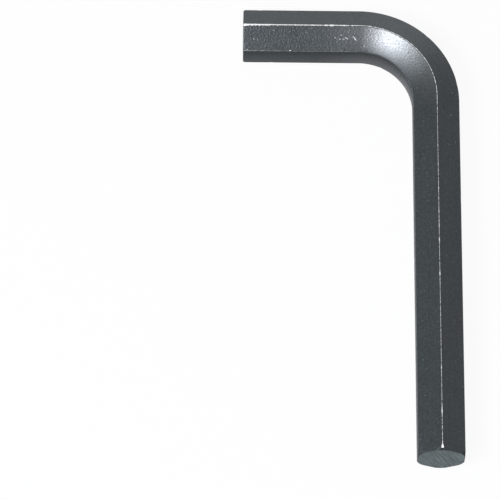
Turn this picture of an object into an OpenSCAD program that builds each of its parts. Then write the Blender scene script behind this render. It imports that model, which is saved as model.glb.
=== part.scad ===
// Hex key: one length of drawn hexagonal steel bar, bent cold through a right angle, with a turned
// chamfer at each tip. A flat of the bar lies on the inside of the bend and another on its outside.
// The key lies on the corner edge that runs along the underside of both arms, so the bend is level.
// Millimetres. The short arm runs along X and the long arm along Y, with the floor at Z = 0 and the
// origin on the floor, at the middle of the box that holds the key.

/* [Hexagon bar] */
// Width across the flats, which is the size of the socket that the key turns
across_flats = 17; // [12:0.5:22]
// Radius that drawing and tumbling leave on the six long edges
edge_radius = 0.55; // [0.2:0.05:1.2]

/* [Arms] */
// Long arm, from the outer flat of the short arm to the tip
long_arm = 177; // [110:1:240]
// Short arm, from the outer flat of the long arm to the tip
short_arm = 80; // [60:1:110]
// Radius of the bend, at the flat on its inside
bend_radius = 20; // [12:0.5:30]

/* [Tips] */
// Width of the round that the chamfer leaves on the long tip, as a share of the corner width
long_tip_round = 0.91; // [0.88:0.01:0.98]
// Width of the round on the short tip, whose chamfer is smaller, as a share of the corner width
short_tip_round = 0.955; // [0.88:0.005:0.98]
// Angle between the chamfers' cones and the length of the bar
chamfer_angle = 30; // [20:1:60]

/* [Colour] */
// Colour of the blackened steel
steel_color = "#565a5d"; // ["#565a5d", "#3c4043", "#8a8d90"]

/* [Hidden] */

right_angle = 90;
hexagon_sides = 6;
// One sixth of a turn, from each corner of the hexagon to the next
corner_step = 360 / hexagon_sides;
// Points on the arc that rounds one corner of the hexagon
corner_points = 7;
// Facets to a full turn of the bend and of the chamfer cones
round_facets = 192;

half_flats = across_flats / 2;
// From the centre of the sharp hexagon to its corners
corner_reach = half_flats / cos(corner_step / 2);
// From the centre to the centres of the six edge radii, and to the edges as rounded
edge_centre = (half_flats - edge_radius) / cos(corner_step / 2);
edge_reach = edge_centre + edge_radius;

// The bar's centre line: its height over the floor, its bend and the straight of each arm
bar_height = edge_reach;
centre_radius = bend_radius + half_flats;
long_straight = long_arm - across_flats - bend_radius;
short_straight = short_arm - across_flats - bend_radius;
// Centre of the bend, on the floor, seen from the middle of the key's box
bend_centre = [short_arm / 2 - across_flats - bend_radius, long_arm / 2 - across_flats - bend_radius];

// Points of the bar's section, with two flats upright at the sides and a corner edge at the bottom.
// Each corner is an arc of one sixth of a turn, so the flats are the lines from arc to arc.
function bar_outline() = [
    for (corner = [0 : hexagon_sides - 1])
        for (i = [0 : corner_points - 1])
            let (
                middle = right_angle + corner * corner_step,
                turn = middle + corner_step * (i / (corner_points - 1) - 0.5)
            )
            [
                edge_centre * cos(middle) + edge_radius * cos(turn),
                edge_centre * sin(middle) + edge_radius * sin(turn)
            ]
];

module bar_section() {
    polygon(bar_outline());
}

// A straight of bar that starts at the origin and runs along +Y, with its tip chamfered. The tip is what
// the bar has in common with a cone, which is as wide as the corners where the chamfer begins and leaves
// a round of that share of their width on the end face.
module arm(straight, tip_round) {
    tip_radius = corner_reach * tip_round;
    chamfer_length = (corner_reach - tip_radius) / tan(chamfer_angle);
    plain = straight - chamfer_length;
    rotate([right_angle, 0, 0])
    mirror([0, 0, 1])
    intersection() {
        linear_extrude(height = straight)
        bar_section();

        union() {
            cylinder(h = plain, r = across_flats, $fn = round_facets);
            translate([0, 0, plain])
            cylinder(h = chamfer_length, r1 = corner_reach, r2 = tip_radius, $fn = round_facets);
        }
    }
}

// A quarter turn of bar about the origin, from the +X axis to the +Y axis.
module bend() {
    rotate_extrude(angle = right_angle, $fn = round_facets)
    translate([centre_radius, 0])
    bar_section();
}

// The whole key: both arms leave the bend along its tangents.
module hex_key() {
    color(steel_color)
    translate([bend_centre[0], bend_centre[1], bar_height])
    union() {
        bend();

        translate([centre_radius, 0, 0])
        rotate([0, 0, 2 * right_angle])
        arm(long_straight, long_tip_round);

        translate([0, centre_radius, 0])
        rotate([0, 0, right_angle])
        arm(short_straight, short_tip_round);
    }
}

hex_key();
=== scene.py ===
from math import cos, pi, radians, sin, tan

import bpy
import numpy as np
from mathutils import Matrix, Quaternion, Vector


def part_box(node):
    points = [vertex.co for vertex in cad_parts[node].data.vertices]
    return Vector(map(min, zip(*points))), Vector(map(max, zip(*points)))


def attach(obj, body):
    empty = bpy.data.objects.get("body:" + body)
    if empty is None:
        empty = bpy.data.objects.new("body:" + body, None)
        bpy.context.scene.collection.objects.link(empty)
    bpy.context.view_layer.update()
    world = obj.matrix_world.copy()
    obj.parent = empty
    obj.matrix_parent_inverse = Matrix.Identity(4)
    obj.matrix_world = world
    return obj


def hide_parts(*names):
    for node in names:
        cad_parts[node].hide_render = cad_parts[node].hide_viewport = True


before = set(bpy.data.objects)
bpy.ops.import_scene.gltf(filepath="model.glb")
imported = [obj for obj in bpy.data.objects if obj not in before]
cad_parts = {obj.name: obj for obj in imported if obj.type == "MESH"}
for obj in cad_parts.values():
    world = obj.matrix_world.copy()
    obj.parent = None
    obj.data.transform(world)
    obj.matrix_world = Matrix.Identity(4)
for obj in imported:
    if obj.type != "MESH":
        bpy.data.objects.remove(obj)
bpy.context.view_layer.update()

MM = 0.001
scene = bpy.context.scene
scene.view_settings.view_transform = "Standard"

# The view. The photograph looks down on the lying key with a long lens, from the long arm's end and a
# little from the left, and it is turned slightly, so that the long arm is upright in the picture.
AIM = Vector((-37.2, -7.32, 9.73)) * MM
AZIMUTH, ELEVATION, ROLL = radians(-2.036), radians(66.043), radians(2.409)
DISTANCE = 1611.38 * MM
LENS = 317.64
SENSOR_WIDTH = 36
NEAREST_SEEN = 10 * MM

away = Vector((
    sin(AZIMUTH) * cos(ELEVATION),
    -cos(AZIMUTH) * cos(ELEVATION),
    sin(ELEVATION),
))
camera = bpy.data.objects.new("camera", bpy.data.cameras.new("camera"))
camera.data.lens = LENS
camera.data.sensor_width = SENSOR_WIDTH
camera.data.clip_start = NEAREST_SEEN
camera.rotation_mode = "QUATERNION"
camera.rotation_quaternion = (-away).to_track_quat("-Z", "Y") @ Quaternion((0, 0, 1), ROLL)
camera.location = AIM + away * DISTANCE
scene.collection.objects.link(camera)
scene.camera = camera

# The stage: a smooth white sheet under an even white sky. It carries the key's faint shadow. The camera and
# the steel see the sky pure white. The camera sees the sheet nearly white too, but the steel mirrors only a
# part of its white, because the real sheet is shaded close to the key.
SHEET_HALF = 3.0
SHEET_COLOUR = (0.55, 0.55, 0.55, 1)
SHEET_GLOW_SEEN = 0.94
SHEET_GLOW_MIRRORED = 0.2
SKY_LIGHT = 0.3
WHITE = (1, 1, 1, 1)


class Wire:
    """The output of a shader node. Arithmetic on wires adds Math nodes to the material."""

    def __init__(self, tree, socket):
        self.tree, self.socket = tree, socket

    @staticmethod
    def make(tree, kind, settings, inputs, output=0):
        """Any node: its type, its settings, then the values or wires of its sockets."""
        made = tree.nodes.new(kind)
        for name, value in settings.items():
            setattr(made, name, value)
        for name, value in inputs.items():
            if isinstance(value, Wire):
                tree.links.new(value.socket, made.inputs[name])
            else:
                made.inputs[name].default_value = value
        return Wire(tree, made.outputs[output])

    def _math(self, operation, *terms):
        settings = {"operation": operation}
        return Wire.make(self.tree, "ShaderNodeMath", settings, dict(enumerate(terms)))

    def __add__(self, other):
        return self._math("ADD", self, other)

    __radd__ = __add__

    def __sub__(self, other):
        return self._math("SUBTRACT", self, other)

    def __rsub__(self, other):
        return self._math("SUBTRACT", other, self)

    def __mul__(self, other):
        return self._math("MULTIPLY", self, other)

    __rmul__ = __mul__

    def __truediv__(self, other):
        return self._math("DIVIDE", self, other)

    def most(self, other):
        return self._math("MAXIMUM", self, other)

    def least(self, other):
        return self._math("MINIMUM", self, other)

    def step(self, low, high):
        """0 below low, 1 above high, and a smooth curve between them."""
        return Wire.make(
            self.tree,
            "ShaderNodeMapRange",
            {"interpolation_type": "SMOOTHSTEP", "clamp": True},
            {"Value": self, "From Min": low, "From Max": high, "To Min": 0.0, "To Max": 1.0},
        )


def new_material(name):
    """A material with an empty node tree, and its output node."""
    material = bpy.data.materials.new(name)
    material.use_nodes = True
    material.node_tree.nodes.clear()
    tree = material.node_tree
    return material, tree, tree.nodes.new("ShaderNodeOutputMaterial")


def light_path(tree, name):
    """1 for rays of the named kind, and 0 for the others."""
    return Wire.make(tree, "ShaderNodeLightPath", {}, {}, name)


def mirrored(tree):
    """1 for rays that a mirror or glass sends on."""
    return light_path(tree, "Is Glossy Ray").most(light_path(tree, "Is Transmission Ray"))


sheet_mesh = bpy.data.meshes.new("white_sheet")
sheet_mesh.from_pydata(
    [(x * SHEET_HALF, y * SHEET_HALF, 0) for x, y in ((-1, -1), (1, -1), (1, 1), (-1, 1))],
    [],
    [(0, 1, 2, 3)],
)
white_sheet = bpy.data.objects.new("white_sheet", sheet_mesh)
scene.collection.objects.link(white_sheet)
sheet_finish, tree, out = new_material("white_sheet")
matt = Wire.make(tree, "ShaderNodeBsdfDiffuse", {}, {"Color": SHEET_COLOUR})
glow = Wire.make(tree, "ShaderNodeEmission", {}, {"Color": WHITE, "Strength": 1.0})
share = light_path(tree, "Is Camera Ray") * SHEET_GLOW_SEEN + mirrored(tree) * SHEET_GLOW_MIRRORED
mixed = Wire.make(tree, "ShaderNodeMixShader", {}, {0: share, 1: matt, 2: glow})
tree.links.new(mixed.socket, out.inputs["Surface"])
sheet_mesh.materials.append(sheet_finish)

world = bpy.data.worlds.new("white_sky")
world.use_nodes = True
world.node_tree.nodes.clear()
tree = world.node_tree
seen = light_path(tree, "Is Camera Ray").most(mirrored(tree))
strength = seen * (1 - SKY_LIGHT) + SKY_LIGHT
sky = Wire.make(tree, "ShaderNodeBackground", {}, {"Color": WHITE, "Strength": strength})
tree.links.new(sky.socket, tree.nodes.new("ShaderNodeOutputWorld").inputs["Surface"])
scene.world = world


def softbox(name, direction, distance, size, power, tint):
    """A square lamp at a distance along a direction from the frame's origin, facing it."""
    lamp = bpy.data.lights.new(name, "AREA")
    lamp.shape, lamp.size, lamp.energy = "SQUARE", size, power
    lamp.color = tint
    obj = bpy.data.objects.new(name, lamp)
    toward = Vector(direction).normalized()
    obj.location = toward * distance
    obj.rotation_mode = "QUATERNION"
    obj.rotation_quaternion = (-toward).to_track_quat("-Z", "Y")
    scene.collection.objects.link(obj)


# The softbox that the bend mirrors towards the camera, a wider and dimmer one beside it, and one low
# behind the key for the short arm's outer flat. Each has its direction, distance and size in metres,
# power in watts and tint.
softbox("bend_light", (-0.406, -0.441, 0.800), 1.774, 0.64, 40.5, (0.995, 0.985, 1.03))
softbox("side_light", (-0.618, -0.259, 0.743), 1.783, 0.84, 9.8, (0.95, 1.0, 1.05))
softbox("back_light", (0.26, 0.945, 0.19), 2.074, 1.25, 5.5, (0.97, 1.0, 1.01))


# The key: one length of hexagonal steel bar, bent cold through a right angle, turned to a short cone at
# both tips, and blackened. Its rounded edges run unbroken through the bend. The shape is the bar's section
# carried along its centre line, from the short tip to the long tip.
low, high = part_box("hex_key")
ACROSS_FLATS = 17 * MM
EDGE_RADIUS = 0.55 * MM
BEND_RADIUS = 20 * MM
# How much of a corner's reach each tip's cone leaves at the end face.
SHORT_TIP_ROUND, LONG_TIP_ROUND = 0.955, 0.91
CHAMFER_ANGLE = radians(30)
CREASE = 0.05 * MM
RIM_RADIUS = 0.12 * MM

half_flats = ACROSS_FLATS / 2
corner_reach = half_flats / cos(pi / 6)
edge_centre = (half_flats - EDGE_RADIUS) / cos(pi / 6)
centre_radius = BEND_RADIUS + half_flats
bar_height = edge_centre + EDGE_RADIUS
short_straight = (high.x - low.x) - ACROSS_FLATS - BEND_RADIUS
long_straight = (high.y - low.y) - ACROSS_FLATS - BEND_RADIUS
bend_centre = np.array([high.x, high.y]) - ACROSS_FLATS - BEND_RADIUS
bend_length = centre_radius * pi / 2
bar_length = short_straight + bend_length + long_straight
side_pitch = edge_centre + EDGE_RADIUS * pi / 3
perimeter = 6 * side_pitch

ARC_POINTS = 9
FLAT_POINTS = 10
RIM_RINGS = 5
TIP_STEP, STEP = 0.1 * MM, 0.5 * MM
# How far the close rings of a tip reach, in lengths of the long tip's cone.
TIP_REACH = 2.2


def bar_outline():
    """The section as (outward, upward) points, from the top edge round by the inside of the bend.

    Each edge is an arc of 60 degrees about a centre on the hexagon's diagonal, and each flat is the
    line on to the next arc, with its points closer together near the edges. Also returns the distance
    of each point round the outline from the top edge's crest.
    """
    points, around = [], []
    arc_half = EDGE_RADIUS * pi / 6
    share = (1 - np.cos(pi * np.arange(1, FLAT_POINTS + 1) / (FLAT_POINTS + 1))) / 2
    for corner in range(6):
        middle = pi / 2 + corner * pi / 3
        turn = middle + np.linspace(-pi / 6, pi / 6, ARC_POINTS)
        centre = edge_centre * np.array([cos(middle), sin(middle)])
        arc = centre + EDGE_RADIUS * np.stack([np.cos(turn), np.sin(turn)], 1)
        along_flat = np.array([-sin(turn[-1]), cos(turn[-1])])
        points += [arc, arc[-1] + share[:, None] * edge_centre * along_flat]
        crest = corner * side_pitch
        around += [crest + EDGE_RADIUS * (turn - middle), crest + arc_half + share * edge_centre]
    return np.concatenate(points), np.concatenate(around)


def stations():
    """The distance of each ring from the short tip, close together at the tips, and its inset.

    The first rings of a tip lie on a quarter circle of the rim's radius, which draws them inwards.
    """
    rim = np.linspace(pi / 2, 0, RIM_RINGS)
    cone_length = corner_reach * (1 - LONG_TIP_ROUND) / tan(CHAMFER_ANGLE)
    near = np.arange(RIM_RADIUS, TIP_REACH * cone_length, TIP_STEP)[1:]
    tip = np.concatenate([RIM_RADIUS * (1 - np.sin(rim)), near])
    drawn = np.concatenate([RIM_RADIUS * (1 - np.cos(rim)), np.zeros(len(near))])
    count = int((bar_length - 2 * tip[-1]) / STEP)
    middle = np.linspace(tip[-1], bar_length - tip[-1], count + 1)[1:-1]
    along = np.concatenate([tip, middle, bar_length - tip[::-1]])
    inset = np.concatenate([drawn, np.zeros(count - 1), drawn[::-1]])
    return along, inset


outline, around = bar_outline()
along, inset = stations()

# In the tips a cone cuts the section. The cut is what the section reaches beyond the cone, or else 0, and
# a hyperbola joins the two in a soft crease.
reach = np.hypot(outline[:, 0], outline[:, 1])
direction = outline / reach[:, None]
from_tip = np.minimum(along, bar_length - along)
tip_round = np.where(along < bar_length / 2, SHORT_TIP_ROUND, LONG_TIP_ROUND)
cone = corner_reach * tip_round + from_tip * tan(CHAMFER_ANGLE)
excess = reach[None, :] - cone[:, None]
cut = (excess + np.sqrt(excess * excess + CREASE * CREASE)) / 2

# Small dents that knocks have left in the edges: their number, the stretch of the bar that has them, and
# their depths, half lengths and half width in mm.
DENTS = 46
DENTED = 0.01, 0.99
DENT_DEPTHS = 0.03, 0.1
DENT_LENGTHS = 0.5, 1.1
DENT_WIDTH = 0.45


def dents(along, around):
    """How deep knocks have pressed the edges in: a sum of smooth hollows at random places on crests.

    A hollow's depth falls off as a bell curve along the bar and round it.
    """
    chance = np.random.default_rng(17)
    place = chance.uniform(*DENTED, DENTS) * bar_length
    crest = chance.integers(0, 6, DENTS) * side_pitch
    depth = chance.uniform(*DENT_DEPTHS, DENTS) * MM
    length = chance.uniform(*DENT_LENGTHS, DENTS) * MM
    off_place = along[:, None] - place
    off_crest = (around[:, None] - crest + perimeter / 2) % perimeter - perimeter / 2
    lengthwise = np.exp(-((off_place / length) ** 2))
    crosswise = np.exp(-((off_crest / (DENT_WIDTH * MM)) ** 2))
    return (depth * lengthwise) @ crosswise.T


radial = reach[None, :] - cut - inset[:, None] - dents(along, around)
outward = radial * direction[None, :, 0]
upward = radial * direction[None, :, 1]

# The centre line runs along +X into the bend, turns clockwise through a right angle, and runs along -Y.
turned = np.clip((along - short_straight) / centre_radius, 0, pi / 2)
ray = np.stack([np.sin(turned), np.cos(turned)], 1)
tangent = np.stack([np.cos(turned), -np.sin(turned)], 1)
straight = along - short_straight - centre_radius * turned
axis = bend_centre + centre_radius * ray + straight[:, None] * tangent
grid = np.empty((len(along), len(outline), 3))
grid[:, :, :2] = axis[:, None, :] + outward[:, :, None] * ray[:, None, :]
grid[:, :, 2] = bar_height + upward
rings, ring_size = grid.shape[:2]

# Each end face is a set of rings drawn in from the rim, as shares of its reach, and a hub.
CAP_SHARES = np.array([0.97, 0.93, 0.87, 0.79, 0.7, 0.6, 0.5, 0.4, 0.3, 0.2, 0.1])


def cap(ring):
    """The rings of an end face and its hub, which is on the bar's centre line."""
    hub = ring.mean(axis=0)
    inner = hub + CAP_SHARES[:, None, None] * (ring - hub)
    return np.concatenate([inner.reshape(-1, 3), hub[None]])


def wall(first, flip):
    """Quads between rings, where ring r starts at vertex first[r]. Flip turns their faces round."""
    column = np.arange(ring_size)
    after = (column + 1) % ring_size
    lower, upper = first[:-1, None], first[1:, None]
    quads = np.stack([lower + column, lower + after, upper + after, upper + column], 2)
    quads = quads.reshape(-1, 4)
    return quads[:, ::-1] if flip else quads


def fan(first, hub, flip):
    """Triangles from the last ring of an end face to its hub."""
    column = np.arange(ring_size)
    after = (column + 1) % ring_size
    triangles = np.stack([first + column, first + after, np.full(ring_size, hub)], 1)
    return triangles[:, ::-1] if flip else triangles


side_points = grid.reshape(-1, 3)
short_cap, long_cap = cap(grid[0]), cap(grid[-1])
vertices = np.concatenate([side_points, short_cap, long_cap])
ring_starts = np.arange(rings) * ring_size
cap_starts = np.arange(len(CAP_SHARES)) * ring_size
short_starts = np.append(ring_starts[0], len(side_points) + cap_starts)
long_starts = np.append(ring_starts[-1], len(side_points) + len(short_cap) + cap_starts)
short_hub = len(side_points) + len(short_cap) - 1
long_hub = len(vertices) - 1
faces = [
    wall(ring_starts, False),
    wall(short_starts, True),
    wall(long_starts, False),
    fan(short_starts[-1], short_hub, True),
    fan(long_starts[-1], long_hub, False),
]

mesh = bpy.data.meshes.new("blackened_key")
mesh.from_pydata(vertices.tolist(), [], [face for part in faces for face in part.tolist()])
mesh.polygons.foreach_set("use_smooth", np.ones(len(mesh.polygons), bool))
mesh.update()
key = bpy.data.objects.new("blackened_key", mesh)
scene.collection.objects.link(key)

# How the wear lies: the half width of the rubbed strip on the top edge, by the distance from the short
# tip, in mm. The bottom edge is rubbed as much, and the other four edges much less. The rubbing ends
# where a tip's cone has cut an edge down by RUB_CUT, within RUB_CUT_FADE more.
RUB_PLACES = [0, 1.8, 9, 12, 36, 43, 62, 86, 94]
RUB_WIDTHS = [0.6, 0.36, 0.34, 0.25, 0.2, 0.13, 0.11, 0.1, 0.068]
RUB_SHARES = np.array([1, 0.16, 0.16, 1, 0.16, 0.16])
RUB_CUT, RUB_CUT_FADE = 0.3, 0.06
# Knocks on the top edge: their places, half lengths and half widths in mm. The last is at the long tip.
KNOCKS = np.array([
    (30.9, 0.4, 0.1),
    (32.7, 0.7, 0.17),
    (37.5, 0.4, 0.1),
    (125.2, 0.8, 0.08),
    (134.5, 0.6, 0.1),
    (139.5, 1.2, 0.1),
    (146.5, 0.8, 0.12),
    (159.6, 1.2, 0.11),
    (196.5, 0.5, 0.16),
    (213.0, 1.5, 0.14),
    (227.1, 1.6, 0.46),
])

crest_number = np.floor((around + side_pitch / 2) / side_pitch).astype(int) % 6
from_crest = np.abs((around + side_pitch / 2) % side_pitch - side_pitch / 2)
rub = np.interp(along / MM, RUB_PLACES, RUB_WIDTHS)[:, None] * RUB_SHARES[crest_number]
knock = np.exp(-(((along[:, None] / MM - KNOCKS[:, 0]) / KNOCKS[:, 1]) ** 2)) @ KNOCKS[:, 2]
cut_off = np.clip((cut / MM - RUB_CUT) / RUB_CUT_FADE, 0, 1)
rub = (rub + knock[:, None] * (crest_number == 0)) * (1 - cut_off)

# Where the skin is burnished or dull. The flats on the inside of the bend are burnished where the bar was
# bent, but for the upper part of the upright one, and a strip above it that the bending tool pressed.
# That upper part is dull, most so on the short arm, and a little of it goes on round the bar to the outer
# flats. The strip is dull by PRESSED_DULL, and the cones wholly. Round the bar the places are in side
# pitches from the top crest, and along it in mm from the short tip.
INSIDE = [0, 0.06, 2.94, 3], [0, 1, 1, 0]
UPRIGHT = [1, 1.06, 1.45, 1.9], [0, 1, 0.5, 0.15]
PRESSED = [0.42, 0.97, 1, 1.02], [0, 1, 1, 0]
BENT = [27, 46, 74, 92], [0, 1, 1, 0]
UPRIGHT_DULL = [46, 86, 100], [1, 0.8, 0.6]
PRESSED_DULL = 0.29
CONE_CUT = 0.02

inside = np.interp(around / side_pitch, *INSIDE)
upright = np.interp(around / side_pitch, *UPRIGHT)
pressed = np.interp(around / side_pitch, *PRESSED)
bent = np.interp(along / MM, *BENT)[:, None]
burnish = bent * np.clip(inside - upright - pressed, 0, 1)
dull = np.interp(along / MM, *UPRIGHT_DULL)[:, None] * upright
dull = np.maximum(dull, np.clip(cut / MM / CONE_CUT, 0, 1))
dull = np.maximum(dull, PRESSED_DULL * bent * pressed)

# End faces count as this far from the edges' crests, in mm.
CLEAR_OF_CRESTS = 5


def paint(name, walls, short_end, long_end):
    """Stores a number at each vertex: on the walls, then on the two end faces."""
    layer = mesh.attributes.new(name, "FLOAT", "POINT")
    on_walls = np.broadcast_to(walls, (rings, ring_size)).ravel()
    on_ends = np.repeat([short_end, long_end], [len(short_cap), len(long_cap)])
    layer.data.foreach_set("value", np.append(on_walls, on_ends).astype(np.float32))


paint("along", along[:, None] / MM, 0, bar_length / MM)
paint("around", around / MM, 0, 0)
paint("from_crest", from_crest / MM, CLEAR_OF_CRESTS, CLEAR_OF_CRESTS)
paint("rub", rub, 0, 0)
paint("burnish", burnish, 0, 0)
paint("dull", dull, 0, 0)
paint("sawn", 0, 1, 1)

# The skin: black oxide, a little glossy and blue-green, thin enough for the steel's grain to show.
# Bare steel shows where the edges have rubbed, in the nicks and in small specks.
SKIN = (0.0015, 0.003, 0.004, 1)
SKIN_LIGHT = (0.0175, 0.0215, 0.0235, 1)
SAWN = (0.056, 0.084, 0.086, 1)
SAWN_DARK = (0.0168, 0.0252, 0.0258, 1)
BARE = (0.76, 0.76, 0.77, 1)
SKIN_TINT = (0.87, 0.95, 1.0, 1)

# Nicks in the skin, in mm: along the bar, round it from the top crest, length, width, and their turn.
NICKS = [
    (3.9, 5.4, 0.7, 0.14, 0.3),
    (11.3, 2.2, 0.5, 0.14, 1.4),
    (1.5, 9.4, 0.8, 0.14, 0.5),
    (17.4, 9.5, 0.8, 0.14, 0.2),
    (34.0, 4.6, 0.6, 0.14, 0.9),
    (35.7, 5.1, 0.8, 0.16, 0.2),
    (37.1, 5.1, 1.1, 0.2, 0.1),
    (38.3, 4.8, 1.4, 0.26, 0.6),
    (36.3, 3.7, 0.5, 0.2, 0.5),
    (41.3, 4.8, 2.3, 0.26, 0.85),
    (45.5, 7.6, 0.6, 0.18, 1.3),
]

steel, tree, out = new_material("blackened_steel")


def painted(name):
    """A number that was painted on the mesh."""
    return Wire.make(tree, "ShaderNodeAttribute", {"attribute_name": name}, {}, "Fac")


def vector(x, y, z):
    """A place from three numbers."""
    return Wire.make(tree, "ShaderNodeCombineXYZ", {}, {"X": x, "Y": y, "Z": z})


def coordinate(place, letter):
    """One of the three numbers of a place."""
    return Wire.make(tree, "ShaderNodeSeparateXYZ", {}, {"Vector": place}, letter)


def noise(place, scale, detail):
    """Smooth noise between 0 and 1, mostly near a half, with about scale bumps to a unit of the place."""
    return Wire.make(
        tree, "ShaderNodeTexNoise", {}, {"Vector": place, "Scale": scale, "Detail": detail}
    )


def blend(factor, first, second):
    """A mix of two colours."""
    return Wire.make(
        tree, "ShaderNodeMix", {"data_type": "RGBA"}, {0: factor, 6: first, 7: second}, 2
    )


def nick(at_along, at_around, length, width, turn):
    """1 inside a ragged ellipse, with its place and size in mm and its turn in radians from the bar.

    The ellipse is where the squares of the distances along it and across it, as shares of its half
    length and half width, add up to less than about 1.
    """
    x = along_bar - at_along
    y = around_bar - at_around
    lengthwise = (x * cos(turn) + y * sin(turn)) / (length / 2)
    crosswise = (y * cos(turn) - x * sin(turn)) / (width / 2)
    return 1 - (lengthwise * lengthwise + crosswise * crosswise + ragged).step(0.5, 1.2)


place = Wire.make(tree, "ShaderNodeTexCoord", {}, {}, "Object")
along_bar = painted("along")
around_bar = painted("around")
sawn = painted("sawn")
coarse = noise(place, 140.0, 3.0)
fine = noise(place, 1350.0, 4.0)
specks = noise(place, 1300.0, 3.0)
pits = noise(place, 1900.0, 2.0).step(0.54, 0.68)
ragged = (noise(place, 2600.0, 2.0) - 0.5) * 1.1

# Faint lines that the drawing of the bar left run its whole length: waves to the mm along and round it.
LINE_WAVES = (0.02, 3.2, 1.0)
line_place = Wire.make(
    tree,
    "ShaderNodeVectorMath",
    {"operation": "MULTIPLY"},
    {0: vector(along_bar, around_bar, 0.0), 1: LINE_WAVES},
)
drawn_lines = noise(line_place, 1.0, 2.0)

# Rubbed strips: bare where the crest is nearer than a half width that comes and goes along the edge, about
# RUB_MEAN of the painted one. It varies by RUB_SPREAD of the painted one, or of UNEVEN_MOST mm where that
# is less. RUB_EDGE is the strip's soft edge in mm, and a strip narrower than RUB_SHOWS mm fades.
RUB_MEAN, RUB_SPREAD = 0.86, 1.1
UNEVEN_MOST = 0.15
RUB_EDGE = -0.03, 0.05
RUB_SHOWS = 0.02
comes_and_goes = noise(vector(along_bar * 0.8, around_bar * 0.2, 3.0), 1.0, 3.0).step(0.3, 0.7)
ragged_edge = noise(place, 1500.0, 3.0) - 0.5
rub_painted = painted("rub")
uneven = (comes_and_goes + ragged_edge - 0.55) * rub_painted.least(UNEVEN_MOST) * RUB_SPREAD
half_width = rub_painted * RUB_MEAN + uneven
rubbed = (half_width - painted("from_crest")).step(*RUB_EDGE) * rub_painted.step(0.0, RUB_SHOWS)
nicks = nick(*NICKS[0])
for values in NICKS[1:]:
    nicks = nicks.most(nick(*values))

# The long arm, where the key is held, has a fainter grain and fewer specks, and the end of the short arm,
# which has been in use, is a little smoother. These are the stretches of the bar where that sets in.
HELD = 60.0, 170.0
USED = 5.0, 35.0
SPECK_BARE, HELD_SPECKS = 0.22, 0.5
NICK_BARE = 0.7
held = along_bar.step(*HELD)
used = 1 - along_bar.step(*USED)
glints = specks.step(0.68, 0.78) * (1 - sawn) * (1 - held * HELD_SPECKS) * SPECK_BARE
bare = rubbed.most(nicks * NICK_BARE).most(glints).least(1.0)

# The end faces were sawn: slanting scores across them, straight but uneven. One end face is square to X
# and the other to Y, so x + y runs sideways across either.
SCORE_SLANT = 0.42
SCORE_WAVES_ACROSS, SCORE_WAVES_DOWN = 2000.0, 110.0
sideways = coordinate(place, "X") + coordinate(place, "Y")
rise = coordinate(place, "Z")
across = (sideways * cos(SCORE_SLANT) + rise * sin(SCORE_SLANT)) * SCORE_WAVES_ACROSS
down = (rise * cos(SCORE_SLANT) - sideways * sin(SCORE_SLANT)) * SCORE_WAVES_DOWN
scores = noise(vector(across, down, 0.0), 1.0, 2.0)

# What the skin's light tone is made up of, as shares.
SPECKLE, LINES, CLOUDS = 0.5, 0.3, 0.2
tone = specks.step(0.36, 0.64) * SPECKLE + drawn_lines.step(0.3, 0.7) * LINES + coarse * CLOUDS
skin_colour = blend(tone, SKIN, SKIN_LIGHT)
sawn_colour = blend(scores.step(0.4, 0.62), SAWN_DARK, SAWN)
colour = blend(bare, blend(sawn, skin_colour, sawn_colour), BARE)

# The relief, in mm: the grain, which is a little deeper where burnished, the lines, scores and nicks.
GRAIN, BURNISHED_GRAIN, HELD_GRAIN = 0.075, 0.02, 0.04
LINE_DEPTH, SCORE_DEPTH, NICK_DEPTH = 0.004, 0.03, 0.02
burnished = painted("burnish")
grain = GRAIN + burnished * BURNISHED_GRAIN - held * HELD_GRAIN
height = (
    fine * grain
    + drawn_lines * LINE_DEPTH * (1 - sawn)
    + scores * SCORE_DEPTH * sawn
    - nicks * NICK_DEPTH
)
bump = Wire.make(
    tree, "ShaderNodeBump", {}, {"Strength": 1.0, "Distance": MM, "Height": height}
)

# The skin's roughness, what adds to it or takes from it, and the second gloss that burnishing gives, less
# of it in the pits.
ROUGHNESS, CLOUD_ROUGHER = 0.285, 0.1
SAWN_ROUGHER, DULL_ROUGHER, PIT_ROUGHER, USED_SMOOTHER = 0.17, 0.6, 0.04, 0.03
BURNISH_GLOSS, PIT_GLOSS_LOST = 0.64, 0.38
roughness = (
    ROUGHNESS
    + (coarse - 0.5) * CLOUD_ROUGHER
    + sawn * SAWN_ROUGHER
    + painted("dull") * DULL_ROUGHER
    + pits * PIT_ROUGHER
    - used * USED_SMOOTHER
)
skin = Wire.make(
    tree,
    "ShaderNodeBsdfPrincipled",
    {},
    {
        "Base Color": colour,
        "Metallic": bare,
        "Roughness": roughness,
        "IOR": 1.5,
        "Specular Tint": SKIN_TINT,
        "Coat Weight": burnished * (BURNISH_GLOSS - pits * PIT_GLOSS_LOST),
        "Coat Roughness": 0.34,
        "Coat IOR": 1.6,
        "Normal": bump,
    },
)
tree.links.new(skin.socket, out.inputs["Surface"])
mesh.materials.append(steel)
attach(key, "root")
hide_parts("hex_key")
